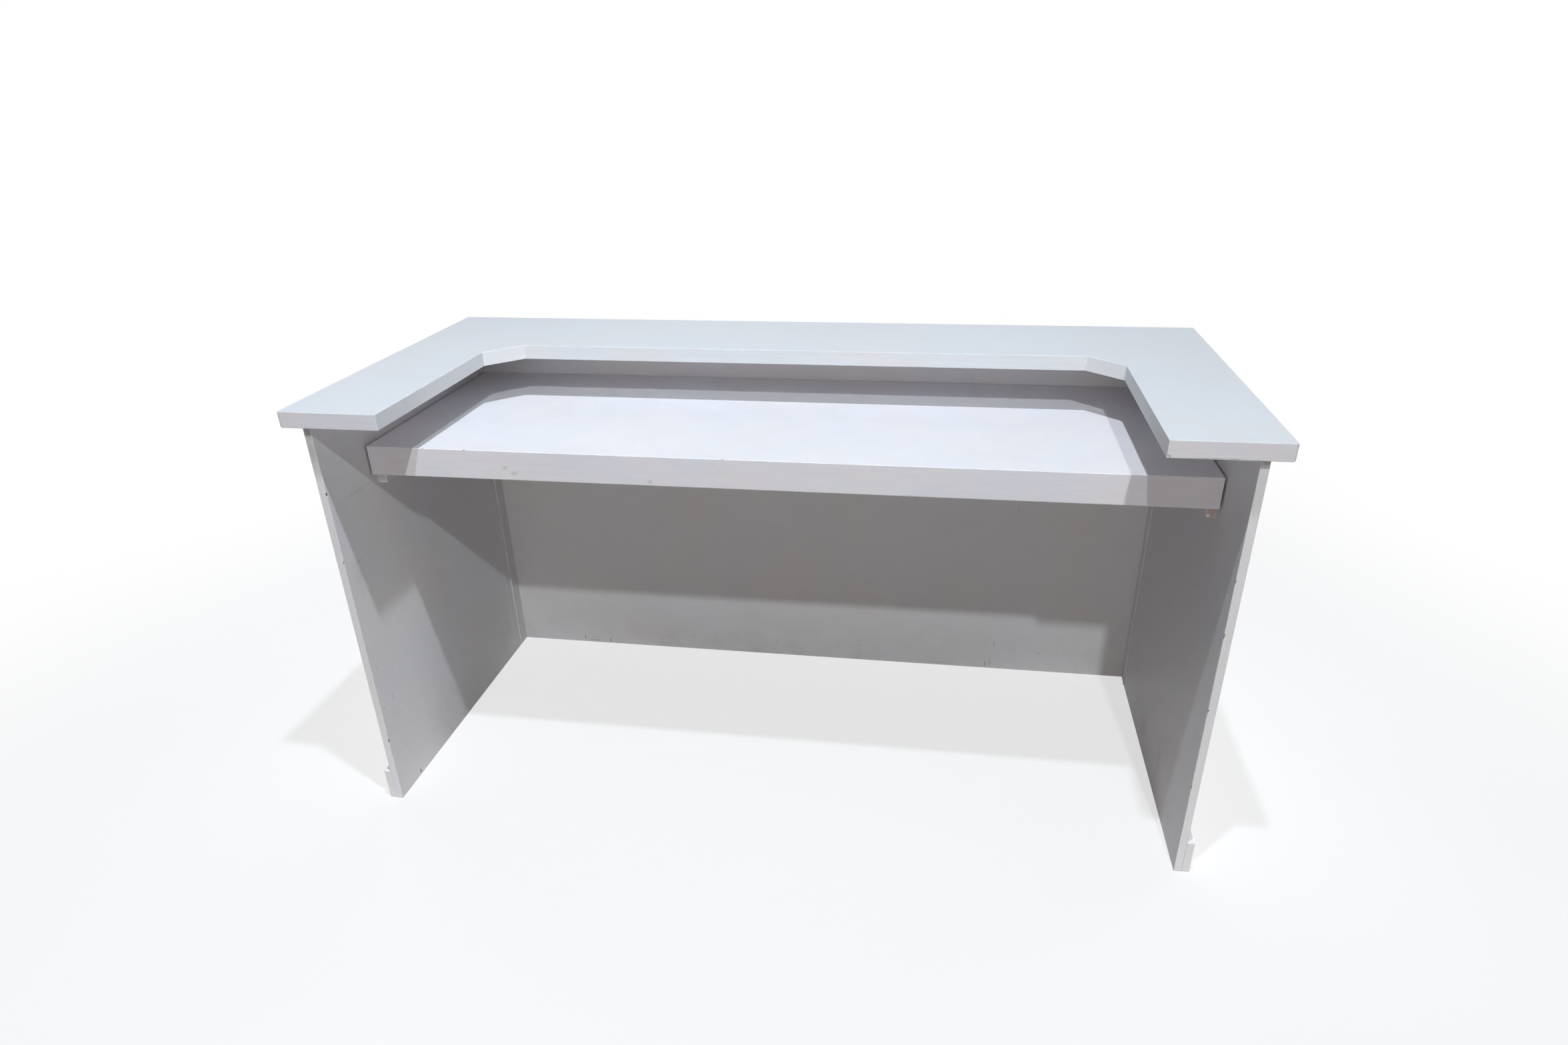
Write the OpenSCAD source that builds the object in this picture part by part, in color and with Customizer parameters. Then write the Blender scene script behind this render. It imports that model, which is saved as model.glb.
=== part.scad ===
// Portable bar: a front panel with two hinged wings, a loose work shelf and a lift-off counter.
// Millimetres. X runs along the bar, Y from the open working side to the guests' side, Z is up.
// The origin is on the floor, under the middle of the counter.

/* [Carcass] */
// Thickness of every board
board_t = 18; // [16:1:22]
// Height of the counter's top face above the floor
bar_h = 1070; // [1000:5:1150]
// Clear width between the inner faces of the two wings
clear_w = 1960; // [1600:10:2200]
// Depth from the wings' near edges to the outer face of the front panel
carcass_d = 866; // [800:1:950]
// Depth of the fixed returns behind the front panel, which the wings are hinged to
return_d = 50; // [46:1:80]
// Gap between a wing and its return
wing_gap = 2; // [1:0.5:3]

/* [Counter] */
// How far the counter stands out past each wing
side_over = 35; // [25:1:60]
// How far the counter stands out past the front panel
front_over = 45; // [25:1:80]
// How far the counter stands out past the wings' near edges
near_over = 25; // [10:1:40]
// Width of each counter arm
arm_w = 230; // [180:5:300]
// Depth of the counter's front strip
strip_d = 326; // [250:1:400]
// Length and width of the slanted cut in each inner corner
corner_cut = 80; // [40:5:110]
// Width of the battens under the counter
batten_w = 20; // [16:1:30]
// Height of the battens under the counter
batten_h = 20; // [14:1:24]
// Clearance between a batten and the board beside it
batten_gap = 2; // [1:0.5:4]
// How far the side battens start behind the wings' near edges
batten_setback = 150; // [100:5:250]

/* [Shelf] */
// Height of the shelf's top face above the floor
shelf_z = 922; // [860:1:950]
// Overall thickness of the shelf
shelf_t = 72; // [50:1:90]
// How far the shelf's front face stands behind the wings' near edges
shelf_setback = 179; // [120:1:240]
// Clearance between the shelf's ends and the hinge knuckles
shelf_clear = 0.8; // [0.5:0.1:3]
// Clearance between the shelf's back and the front panel
shelf_back_gap = 2; // [1:0.5:5]

/* [Cleats] */
// How far the cleats and the ledger stand out from the boards
cleat_w = 22; // [18:1:24]
// Height of the cleats and the ledger
cleat_h = 31; // [25:1:45]
// How far the side cleats start behind the shelf's front face
cleat_setback = 28; // [15:1:60]
// Gap between the cleats' ends and what they run up to
cleat_end_gap = 4; // [2:1:10]

/* [Skirting] */
// Height of the skirting
skirting_h = 88; // [60:1:120]
// Thickness of the skirting
skirting_t = 18; // [10:1:22]

/* [Hinges] */
// Width of one hinge leaf, from the pin's axis to its edge
leaf_w = 35; // [28:1:38]
// Thickness of the hinge leaves
leaf_t = 1.2; // [1:0.1:1.6]
// Depth of the recess that a leaf is let into
leaf_inset = 0.8; // [0.6:0.1:1]
// Margin of the recess round a leaf
leaf_margin = 1; // [0.5:0.1:2]
// Diameter of the hinge pin
pin_d = 2.5; // [2:0.1:3.5]
// Clearance round the hinge pin, on the radius
pin_clear = 0.05; // [0.03:0.01:0.1]
// Number of knuckles along each hinge, shared by its two leaves
knuckle_n = 32; // [16:2:48]
// Gap between one knuckle and the next
knuckle_gap = 0.4; // [0.3:0.1:1]
// Width of the seam where a rolled knuckle comes back to its leaf
curl_gap = 0.3; // [0.2:0.1:0.5]
// Distance from the ends of a hinge to the ends of the boards
hinge_end = 5; // [3:1:20]

/* [Screws] */
// Clearance round every screw, on the radius
screw_clear = 0.05; // [0.03:0.01:0.2]
// Shank diameter of the hinge screws
hinge_screw_d = 3; // [2.5:0.1:3.5]
// Head diameter of the hinge screws
hinge_head_d = 5; // [4.6:0.1:5.2]
// Number of screws in each hinge leaf
hinge_screw_n = 8; // [5:1:12]
// Shank diameter of the wood screws
wood_screw_d = 4; // [3.5:0.1:5]
// Head diameter of the wood screws
wood_head_d = 8; // [7.5:0.1:9]
// Wood left between the point of a screw and the far face of the board it bites in
screw_cover = 5; // [3:1:8]
// Length of the screws through the front panel into the returns
corner_screw_l = 50; // [40:1:60]
// Number of screws in each side cleat, side batten and carcass corner
side_screw_n = 5; // [3:1:8]
// Number of screws in the ledger and in the front batten
long_screw_n = 9; // [5:1:14]
// Distance from the end of a piece to its first screw
screw_end = 40; // [25:1:80]

/* [Hidden] */
$fn = 32;

// Carcass
inner_x = clear_w / 2;
outer_x = inner_x + board_t;
counter_t = 2 * board_t;
carcass_h = bar_h - counter_t;
counter_hw = outer_x + side_over;
counter_d = near_over + carcass_d + front_over;
counter_y0 = -counter_d / 2;
counter_y1 = counter_d / 2;
wing_y0 = counter_y0 + near_over;
panel_y1 = wing_y0 + carcass_d;
panel_y0 = panel_y1 - board_t;
return_y0 = panel_y0 - return_d;
wing_y1 = return_y0 - wing_gap;

// Hinges
pin_y = return_y0 - wing_gap / 2;
pin_r = pin_d / 2;
bore_r = pin_r + pin_clear;
knuckle_r = bore_r + leaf_t;
seat_x = inner_x + leaf_inset;
pin_x = seat_x - knuckle_r;
knuckle_proud = 2 * knuckle_r - leaf_inset;
leaf_proud = leaf_t - leaf_inset;
hinge_h = carcass_h - 2 * hinge_end;
knuckle_pitch = hinge_h / knuckle_n;
leaf_screw_y = (knuckle_r + leaf_w) / 2;
hinge_screw_l = leaf_proud + board_t - screw_cover;

// Counter
arm_x = counter_hw - arm_w;
cut_y = counter_y1 - strip_d;
arm_y1 = cut_y - corner_cut;
batten_z = carcass_h - batten_h;
side_batten_y0 = wing_y0 + batten_setback;
side_batten_y1 = pin_y - leaf_w - batten_gap;
batten_x = inner_x - leaf_proud - batten_gap;

// Shelf and its supports
shelf_x = inner_x - knuckle_proud - shelf_clear;
shelf_y0 = wing_y0 + shelf_setback;
shelf_y1 = panel_y0 - shelf_back_gap;
shelf_z0 = shelf_z - shelf_t;
rail_h = shelf_t - board_t;
cleat_z0 = shelf_z0 - cleat_h;
cleat_y0 = shelf_y0 + cleat_setback;
cleat_y1 = pin_y - leaf_w - cleat_end_gap;
cleat_front_x = inner_x - cleat_end_gap;
end_rail_x = shelf_x - board_t / 2;
rib_x = end_rail_x / 2;
cleat_screw_l = cleat_w + board_t - screw_cover;
batten_screw_l = batten_h + board_t - screw_cover;

paint = [0.92, 0.93, 0.96];
paint_edge = [0.86, 0.85, 0.90];
bare_wood = [0.72, 0.60, 0.44];
steel = [0.62, 0.63, 0.65];

// Places of n screws along a piece that runs from a to b
function along(n, a, b) = [for (i = [0 : n - 1]) a + screw_end + i * (b - a - 2 * screw_end) / (n - 1)];

side_cleat_screws = along(side_screw_n, cleat_y0, cleat_y1);
side_batten_screws = along(side_screw_n, side_batten_y0, side_batten_y1);
ledger_screws = along(long_screw_n, -cleat_front_x, cleat_front_x);
front_batten_screws = along(long_screw_n, -batten_x, batten_x);
corner_screw_zs = along(side_screw_n, skirting_h, carcass_h);
hinge_screw_zs = along(hinge_screw_n, hinge_end, carcass_h - hinge_end);

// Box between two corners
module block(low, high) {
    translate(low) cube(high - low);
}

// The right-hand piece as drawn, or its left-hand twin
module side(right) {
    if (right) children();
    else mirror([1, 0, 0]) children();
}

// What points towards +Y as drawn, or towards -Y where dir is -1
module along_y(dir) {
    if (dir > 0) children();
    else mirror([0, 1, 0]) children();
}

// Screws: the head's top is at the origin and the point is towards -Z

// Countersunk screw, or with extra above zero the hole that it goes in
module screw(d, head_d, l, extra = 0) {
    cone_h = (head_d - d) / 2;
    translate([0, 0, -cone_h]) cylinder(h = cone_h, r1 = d / 2 + extra, r2 = head_d / 2 + extra);
    translate([0, 0, -l + d - extra]) cylinder(h = l - d - cone_h + 2 * extra, r = d / 2 + extra);
    translate([0, 0, -l - extra]) cylinder(h = d, r1 = d / 8, r2 = d / 2 + extra);
    if (extra > 0) cylinder(h = 1, r = head_d / 2 + extra);
}

// All the hinge screws of one leaf, on the right-hand side; dir is 1 for the fixed leaf and -1 for the wing's
module leaf_screws(dir, extra = 0) {
    for (z = hinge_screw_zs)
        translate([seat_x - leaf_t, pin_y + dir * leaf_screw_y, z])
            rotate([0, -90, 0]) screw(hinge_screw_d, hinge_head_d, hinge_screw_l, extra);
}

// Screws through the right-hand side cleat into its wing
module side_cleat_screw_row(extra = 0) {
    for (y = side_cleat_screws)
        translate([inner_x - cleat_w, y, shelf_z0 - cleat_h / 2])
            rotate([0, -90, 0]) screw(wood_screw_d, wood_head_d, cleat_screw_l, extra);
}

// Screws through the ledger into the front panel
module ledger_screw_row(extra = 0) {
    for (x = ledger_screws)
        translate([x, panel_y0 - cleat_w, shelf_z0 - cleat_h / 2])
            rotate([90, 0, 0]) screw(wood_screw_d, wood_head_d, cleat_screw_l, extra);
}

// Screws through the front panel into the right-hand return
module corner_screw_row(extra = 0) {
    for (z = corner_screw_zs)
        translate([inner_x + board_t / 2, panel_y1, z])
            rotate([-90, 0, 0]) screw(wood_screw_d, wood_head_d, corner_screw_l, extra);
}

// Screws up through the right-hand side batten into the counter
module side_batten_screw_row(extra = 0) {
    for (y = side_batten_screws)
        translate([batten_x - batten_w / 2, y, batten_z])
            rotate([180, 0, 0]) screw(wood_screw_d, wood_head_d, batten_screw_l, extra);
}

// Screws up through the front batten into the counter
module front_batten_screw_row(extra = 0) {
    for (x = front_batten_screws)
        translate([x, panel_y0 - batten_gap - batten_w / 2, batten_z])
            rotate([180, 0, 0]) screw(wood_screw_d, wood_head_d, batten_screw_l, extra);
}

// Counter

// Plan of the counter: a U that is open towards the working side, with slanted inner corners
module counter_plan() {
    polygon([
        [-counter_hw, counter_y0], [-arm_x, counter_y0],
        [-arm_x, arm_y1], [corner_cut - arm_x, cut_y],
        [arm_x - corner_cut, cut_y], [arm_x, arm_y1],
        [arm_x, counter_y0], [counter_hw, counter_y0],
        [counter_hw, counter_y1], [-counter_hw, counter_y1]
    ]);
}

module top_board() {
    color(paint)
        translate([0, 0, bar_h - board_t]) linear_extrude(board_t) counter_plan();
}

// Second layer under one arm, up to where the slanted cut starts
module top_doubler_arm(right) {
    color(paint_edge) side(right) difference() {
        block([arm_x, counter_y0, carcass_h], [counter_hw, arm_y1, bar_h - board_t]);
        side_batten_screw_row(screw_clear);
    }
}

// Second layer under the front strip, with the slanted corners
module top_doubler_front() {
    color(paint_edge) difference() {
        translate([0, 0, carcass_h]) linear_extrude(board_t) intersection() {
            counter_plan();
            translate([-counter_hw, arm_y1]) square([2 * counter_hw, counter_y1 - arm_y1]);
        }
        for (right = [false, true]) side(right) side_batten_screw_row(screw_clear);
        front_batten_screw_row(screw_clear);
    }
}

// Side batten: it holds the counter against the inner face of a wing
module top_batten_side(right) {
    color(bare_wood) side(right) difference() {
        block([batten_x - batten_w, side_batten_y0, batten_z], [batten_x, side_batten_y1, carcass_h]);
        side_batten_screw_row(screw_clear);
    }
}

module top_batten_front() {
    color(bare_wood) difference() {
        block([-batten_x, panel_y0 - batten_gap - batten_w, batten_z],
              [batten_x, panel_y0 - batten_gap, carcass_h]);
        front_batten_screw_row(screw_clear);
    }
}

module batten_screws() {
    color(steel) {
        for (right = [false, true]) side(right) side_batten_screw_row();
        front_batten_screw_row();
    }
}

// Carcass

module front_panel() {
    color(paint) difference() {
        block([-outer_x, panel_y0, 0], [outer_x, panel_y1, carcass_h]);
        for (right = [false, true]) side(right) corner_screw_row(screw_clear);
        ledger_screw_row(screw_clear);
    }
}

// Recess for one hinge leaf on the right-hand side, open towards the pin
module leaf_recess(dir) {
    y_far = pin_y + dir * (leaf_w + leaf_margin);
    z0 = hinge_end - leaf_margin;
    block([inner_x - leaf_t, min(pin_y, y_far), z0], [seat_x, max(pin_y, y_far), carcass_h - z0]);
}

module return_board(right) {
    color(paint) side(right) difference() {
        block([inner_x, return_y0, 0], [outer_x, panel_y0, carcass_h]);
        leaf_recess(1);
        leaf_screws(1, screw_clear);
        corner_screw_row(screw_clear);
    }
}

module wing(right) {
    color(paint) side(right) difference() {
        block([inner_x, wing_y0, 0], [outer_x, wing_y1, carcass_h]);
        leaf_recess(-1);
        leaf_screws(-1, screw_clear);
        side_cleat_screw_row(screw_clear);
    }
}

module corner_screws() {
    color(steel) for (right = [false, true]) side(right) corner_screw_row();
}

// Hinges

// Section of one rolled knuckle with the strip that joins it to its leaf.
// X is the distance from the leaf's back, Y runs from the pin's axis towards the leaf's edge.
module knuckle_section() {
    difference() {
        union() {
            translate([knuckle_r, 0]) circle(r = knuckle_r);
            translate([0, pin_r]) square([leaf_t, knuckle_r + 2 * knuckle_gap - pin_r]);
        }
        translate([knuckle_r, 0]) circle(r = bore_r);
        translate([leaf_t, 0.4 * bore_r]) square([curl_gap, knuckle_r]);
    }
}

// One leaf on the right-hand side: a flat plate with every second knuckle rolled from it.
// dir is 1 for the fixed leaf and -1 for the wing's leaf.
module hinge_leaf(right, dir) {
    first = dir > 0 ? 0 : 1;
    color(paint) side(right) difference() {
        translate([seat_x, pin_y, hinge_end]) along_y(dir) mirror([1, 0, 0]) {
            translate([0, knuckle_r + knuckle_gap, 0])
                cube([leaf_t, leaf_w - knuckle_r - knuckle_gap, hinge_h]);
            for (i = [first : 2 : knuckle_n - 1])
                translate([0, 0, i * knuckle_pitch + knuckle_gap / 2])
                    linear_extrude(knuckle_pitch - knuckle_gap) knuckle_section();
        }
        leaf_screws(dir, screw_clear);
    }
}

module hinge_pin(right) {
    color(steel) side(right)
        translate([pin_x, pin_y, hinge_end]) cylinder(h = hinge_h, r = pin_r);
}

module hinge_screws() {
    color(steel) for (right = [false, true], dir = [-1, 1]) side(right) leaf_screws(dir);
}

// Shelf

module shelf_board() {
    color(paint) block([-shelf_x, shelf_y0, shelf_z - board_t], [shelf_x, shelf_y1, shelf_z]);
}

// Long rail under the shelf board, at its front or its back
module shelf_rail_long(y0) {
    color(paint_edge) block([-shelf_x, y0, shelf_z0], [shelf_x, y0 + board_t, shelf_z0 + rail_h]);
}

// Cross piece between the long rails, with its middle at x
module shelf_cross(x) {
    color(paint_edge)
        block([x - board_t / 2, shelf_y0 + board_t, shelf_z0],
              [x + board_t / 2, shelf_y1 - board_t, shelf_z0 + rail_h]);
}

// Shelf supports

module cleat_side(right) {
    color(paint) side(right) difference() {
        block([inner_x - cleat_w, cleat_y0, cleat_z0], [inner_x, cleat_y1, shelf_z0]);
        side_cleat_screw_row(screw_clear);
    }
}

module cleat_front() {
    color(paint) difference() {
        block([-cleat_front_x, panel_y0 - cleat_w, cleat_z0], [cleat_front_x, panel_y0, shelf_z0]);
        ledger_screw_row(screw_clear);
    }
}

module cleat_screws() {
    color(steel) {
        for (right = [false, true]) side(right) side_cleat_screw_row();
        ledger_screw_row();
    }
}

// Skirting

// Front skirting: it laps over the ends of the two short ones beside it
module skirting_front() {
    color(paint)
        block([-outer_x - skirting_t, panel_y1, 0],
              [outer_x + skirting_t, panel_y1 + skirting_t, skirting_h]);
}

// Skirting on the outer face of a side, from y0 to y1
module skirting_side(right, y0, y1) {
    color(paint) side(right) block([outer_x, y0, 0], [outer_x + skirting_t, y1, skirting_h]);
}

top_board();
top_doubler_arm(false);  // top_doubler_left
top_doubler_arm(true);  // top_doubler_right
top_doubler_front();
top_batten_side(false);  // top_batten_left
top_batten_side(true);  // top_batten_right
top_batten_front();
batten_screws();
front_panel();
return_board(false);  // return_left
return_board(true);  // return_right
wing(false);  // wing_left
wing(true);  // wing_right
corner_screws();
hinge_leaf(false, -1);  // hinge_leaf_wing_left
hinge_leaf(true, -1);  // hinge_leaf_wing_right
hinge_leaf(false, 1);  // hinge_leaf_fixed_left
hinge_leaf(true, 1);  // hinge_leaf_fixed_right
hinge_pin(false);  // hinge_pin_left
hinge_pin(true);  // hinge_pin_right
hinge_screws();
shelf_board();
shelf_rail_long(shelf_y0);  // shelf_rail_front
shelf_rail_long(shelf_y1 - board_t);  // shelf_rail_back
shelf_cross(-end_rail_x);  // shelf_rail_left
shelf_cross(end_rail_x);  // shelf_rail_right
shelf_cross(-rib_x);  // shelf_rib_left
shelf_cross(0);  // shelf_rib_centre
shelf_cross(rib_x);  // shelf_rib_right
cleat_side(false);  // cleat_left
cleat_side(true);  // cleat_right
cleat_front();
cleat_screws();
skirting_front();
skirting_side(false, return_y0, panel_y1);  // skirting_return_left
skirting_side(true, return_y0, panel_y1);  // skirting_return_right
skirting_side(false, wing_y0, wing_y1);  // skirting_wing_left
skirting_side(true, wing_y0, wing_y1);  // skirting_wing_right
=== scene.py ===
from math import pi, radians, tan

import bmesh
import bpy
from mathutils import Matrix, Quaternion, Vector


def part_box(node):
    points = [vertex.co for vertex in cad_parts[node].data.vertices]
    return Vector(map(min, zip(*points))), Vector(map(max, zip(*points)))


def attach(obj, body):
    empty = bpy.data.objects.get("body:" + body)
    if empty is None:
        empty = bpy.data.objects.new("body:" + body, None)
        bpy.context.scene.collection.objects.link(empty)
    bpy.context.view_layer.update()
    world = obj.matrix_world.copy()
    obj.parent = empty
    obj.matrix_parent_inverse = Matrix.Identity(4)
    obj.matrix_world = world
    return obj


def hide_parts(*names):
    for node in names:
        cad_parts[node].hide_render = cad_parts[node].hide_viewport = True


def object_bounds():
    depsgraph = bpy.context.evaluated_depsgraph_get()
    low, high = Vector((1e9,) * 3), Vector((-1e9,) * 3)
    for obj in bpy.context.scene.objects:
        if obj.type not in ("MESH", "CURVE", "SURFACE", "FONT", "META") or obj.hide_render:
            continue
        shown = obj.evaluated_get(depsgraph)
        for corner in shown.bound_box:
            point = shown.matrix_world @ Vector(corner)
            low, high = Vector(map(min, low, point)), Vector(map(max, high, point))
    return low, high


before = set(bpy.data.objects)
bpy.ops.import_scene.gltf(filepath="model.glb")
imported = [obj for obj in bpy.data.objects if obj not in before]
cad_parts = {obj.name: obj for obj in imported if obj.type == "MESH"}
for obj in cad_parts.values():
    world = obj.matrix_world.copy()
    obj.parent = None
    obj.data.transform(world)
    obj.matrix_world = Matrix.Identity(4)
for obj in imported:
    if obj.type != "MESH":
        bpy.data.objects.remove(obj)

bl_info = {
    "name": "Portable bar",
    "version": (1, 0, 0),
    "blender": (4, 5, 0),
    "location": "View3D > Sidebar > Portable bar",
    "description": "Painted boards, hinges and screws of a portable bar, with its studio and camera",
    "category": "Object",
}

# Metres throughout. +X runs along the bar, +Y towards the guests, +Z up.
CAD_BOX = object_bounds()
MM = 0.001
HAIR = 0.01 * MM

# Places that the boards share, read from the model's parts
BAR_LOW, BAR_HIGH = CAD_BOX
PANEL_LOW, PANEL_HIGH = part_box("front_panel")
ARM_LOW, ARM_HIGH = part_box("top_doubler_right")
PIN_LOW, PIN_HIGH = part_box("hinge_pin_right")
BOARD = PANEL_HIGH.y - PANEL_LOW.y
INNER_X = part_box("wing_right")[0].x
PIN_Y = ((PIN_LOW + PIN_HIGH) / 2).y

# Sizes of the cut-out's corners, the hinges and the screws and how many screws are in a row, as in the model
# of the part
CORNER_CUT = 80 * MM
LEAF_PROUD = 0.4 * MM
LEAF_INSET = 0.8 * MM
LEAF_MARGIN = 1 * MM
LEAF_SCREW = 18.75 * MM
SCREW_END = 40 * MM
SHORT_ROW, LONG_ROW, LEAF_ROW = 5, 9, 8
HINGE_SCREW = {"shank": 3 * MM, "head": 5 * MM, "length": 13.4 * MM}
WOOD_SCREW = {"shank": 4 * MM, "head": 8 * MM, "length": 35 * MM}
CORNER_SCREW = {"shank": 4 * MM, "head": 8 * MM, "length": 50 * MM}
BATTEN_SCREW = {"shank": 4 * MM, "head": 8 * MM, "length": 33 * MM}

# Play of a countersink round the screw's shank and round its head
SHANK_PLAY, HEAD_PLAY = 0.1 * MM, 0.15 * MM

# Cross recess in a screw's head: half length and half width of an arm, as shares of the head, and its depth,
# as a share of the cone
RECESS = (0.30, 0.07, 0.5)

# Width of a screw's tip, as a share of its shank
TIP = 0.25

# Sides of the round shapes
SCREW_SIDES, SINK_SIDES, FLOOR_SIDES = 20, 32, 96

# Material slots of every painted board: its faces, its eased arrises, its brushed edges and, on the counter,
# the faces of the cut-out
FACE, ARRIS, EDGE, CUT_OUT = 0, 1, 2, 3

# Width of the camera's sensor in millimetres
SENSOR = 36

# Edges that turn by more than this are arrises
SHARP = radians(30)

# How much of a direction has to lie along an axis, for a face to face that way or an edge to run that way
FACING, RUNNING = 0.5, 0.9

# How far dirt climbs from the floor, in metres
DIRT = {"front_panel": 0.16, "return": 0.10, "wing": 0.22, "skirting": 0.05}

# Ways in which faces look: down, to the guests, and out from the cleats and the ledger
DOWN, TO_GUESTS = Vector((0, 0, -1)), Vector((0, 1, 0))
CLEATS = {"cleat_left": Vector((1, 0, 0)), "cleat_right": Vector((-1, 0, 0)),
          "cleat_front": Vector((0, -1, 0))}
SIDES = {"left": -1, "right": 1}

# What marks look like: colour, strength, how soft the rim is and how ragged. Some kinds are painted shade and
# painted highlight, as said at each
MARK_KINDS = {
    "smudge": ((0.30, 0.30, 0.31), 0.30, 0.8, 0.9),
    "scuff": ((0.22, 0.21, 0.21), 0.13, 0.9, 2.4),
    "scratch": ((0.09, 0.085, 0.05), 0.85, 0.5, 0.6),
    "faint_scratch": ((0.14, 0.13, 0.12), 0.35, 0.6, 0.8),
    "speck": ((0.05, 0.045, 0.04), 0.85, 0.4, 0.3),
    "filler": ((0.93, 0.93, 0.92), 0.7, 0.4, 0.5),
    # A light lip of paint round covered chips, and a painted highlight on the cleats' lower arrises
    "paint_lip_and_highlight": ((0.95, 0.94, 0.94), 1.0, 0.2, 0.2),
    # Bare board; on the wings' near edges under the counter it is painted shadow
    "bare": ((0.20, 0.16, 0.13), 0.60, 0.8, 1.0),
    # Painted shade
    "painted_shade": ((0.42, 0.40, 0.33), 0.40, 0.9, 0.8),
    # Painted shade, darker and browner
    "painted_dark_shade": ((0.45, 0.33, 0.27), 0.75, 0.9, 0.8),
    "blush": ((0.80, 0.70, 0.70), 0.22, 0.9, 0.8),
}

# Marks on each board: kind, middle and half size in millimetres
MARKS = {
    "shelf_rail_front": [
        ("smudge", (-630, -264, 881), (11, 6, 7)),
        ("smudge", (-608, -264, 868), (14, 6, 7)),
        ("smudge", (-277, -264, 860), (9, 6, 6)),
        ("bare", (-938, -264, 851), (40, 6, 3)),
    ],
    "top_board": [
        ("blush", (180, 142, 1060), (120, 6, 12)),
        ("blush", (420, 142, 1056), (90, 6, 8)),
        ("blush", (-260, 142, 1062), (70, 6, 8)),
    ],
    "top_doubler_front": [
        ("faint_scratch", (722, 141, 1042), (1.4, 3, 8)),
        ("blush", (300, 142, 1042), (150, 6, 9)),
        ("blush", (560, 142, 1039), (60, 6, 6)),
    ],
    "front_panel": [
        ("scratch", (615, 405, 594), (2.2, 4, 18)),
        ("faint_scratch", (619, 405, 548), (1.2, 4, 16)),
        ("scratch", (-680, 405, 10), (1.6, 4, 12)),
        ("faint_scratch", (-678, 405, 42), (1.2, 4, 22)),
        ("scratch", (-768, 405, 16), (1.8, 4, 10)),
        ("faint_scratch", (-735, 405, 7), (26, 4, 3)),
        ("scratch", (560, 405, 14), (1.6, 4, 13)),
        ("faint_scratch", (574, 405, 20), (3, 4, 16)),
        ("faint_scratch", (583, 405, 92), (2, 4, 20)),
        ("speck", (-694, 405, 50), (1.8, 4, 1.8)),
        ("speck", (-383, 405, 52), (1.8, 4, 1.8)),
        ("speck", (-110, 405, 46), (2.1, 4, 2.1)),
        ("speck", (160, 405, 52), (1.8, 4, 1.8)),
        ("speck", (160, 405, 22), (1.6, 4, 1.6)),
        ("speck", (722, 405, 66), (1.8, 4, 1.8)),
        ("scuff", (430, 405, 8), (60, 4, 6)),
    ],
    "wing_left": [
        ("scratch", (-978, -443, 872), (3, 4, 9)),
        ("scratch", (-979, -443, 188), (2.5, 4, 8)),
        ("filler", (-980, -264, 393), (4, 3.4, 2.6)),
        ("faint_scratch", (-980, -382, 286), (4, 2, 15)),
        ("faint_scratch", (-980, -370, 228), (4, 12, 1.4)),
        ("faint_scratch", (-980, -428, 278), (4, 1.4, 9)),
        ("faint_scratch", (-980, -419, 391), (4, 1.4, 11)),
        ("scuff", (-980, -400, 640), (4, 30, 60)),
        ("scuff", (-980, -392, 676), (4, 30, 5)),
        ("scuff", (-980, -335, 834), (4, 74, 7)),
        # Painted shadow of the counter's overhang on the wing's near edge: a dark band at the top and a
        # lighter band below it
        ("bare", (-989, -443, 1020), (22, 4, 26)),
        ("painted_shade", (-989, -443, 974), (22, 4, 48)),
        ("speck", (-980, -214, 47), (4, 2, 2)),
        ("speck", (-980, -150, 15), (4, 2.2, 2.2)),
        ("speck", (-980, -341, 12), (4, 3, 8)),
        ("speck", (-980, 234, 49), (4, 2.4, 2.4)),
        ("speck", (-980, 155, 15), (4, 2.6, 3)),
    ],
    "wing_right": [
        ("faint_scratch", (980, -333, 983), (4, 2, 12)),
        # Painted shadow of the counter's overhang at the top of the wing's near edge
        ("bare", (989, -443, 1026), (20, 4, 14)),
        ("faint_scratch", (980, -350, 690), (4, 2, 18)),
        ("faint_scratch", (980, -395, 360), (4, 2, 26)),
        ("scuff", (980, -150, 120), (4, 30, 60)),
        ("scuff", (980, 40, 60), (4, 60, 34)),
    ],
    "cleat_left": [
        # Painted shade on the cleat's near end, and a painted highlight along its lower arris
        ("painted_shade", (-969, -236, 838), (20, 3, 16)),
        ("paint_lip_and_highlight", (-969, -236, 821), (13, 3, 2.6)),
    ],
    "cleat_right": [
        # Painted shade on the cleat's near end, and a small painted highlight on it
        ("painted_dark_shade", (969, -236, 838), (30, 3, 34)),
        ("paint_lip_and_highlight", (962, -236, 824), (4, 3, 3.6)),
    ],
}

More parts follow.
